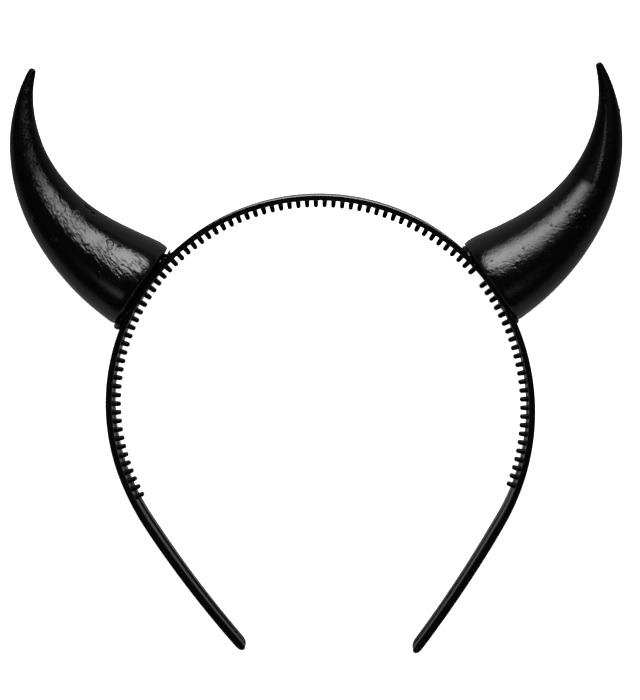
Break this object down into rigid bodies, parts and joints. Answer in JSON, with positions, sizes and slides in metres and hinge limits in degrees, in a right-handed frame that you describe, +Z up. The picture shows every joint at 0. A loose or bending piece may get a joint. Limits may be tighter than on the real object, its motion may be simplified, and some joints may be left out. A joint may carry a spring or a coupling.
{
  "type": "devil horns headband",
  "caption": "Black plastic hair band with a comb of fine teeth inside and two hollow curved horns glued on its outer face, lying flat.",
  "frame": {"origin": "centre of the part's outline on the surface that it lies on", "axes": "+Z up from that surface, +Y from the leg tips towards the crown, +X to the right of someone who looks down on it with the crown away from them"},
  "size_m": [0.1888, 0.1878, 0.0297],
  "materials": {
    "band_plastic": "black injection-moulded plastic, smooth and fairly glossy",
    "horn_plastic": "black satin plastic with a fine uneven skin",
    "hot_glue": "dark glossy hot-melt glue"
  },
  "bodies": {
    "root": {"band": "band_plastic", "horn_left": "horn_plastic", "horn_right": "horn_plastic", "glue_left_upper": "hot_glue", "glue_left_lower": "hot_glue", "glue_right_upper": "hot_glue", "glue_right_lower": "hot_glue"}
  },
  "joints": []
}
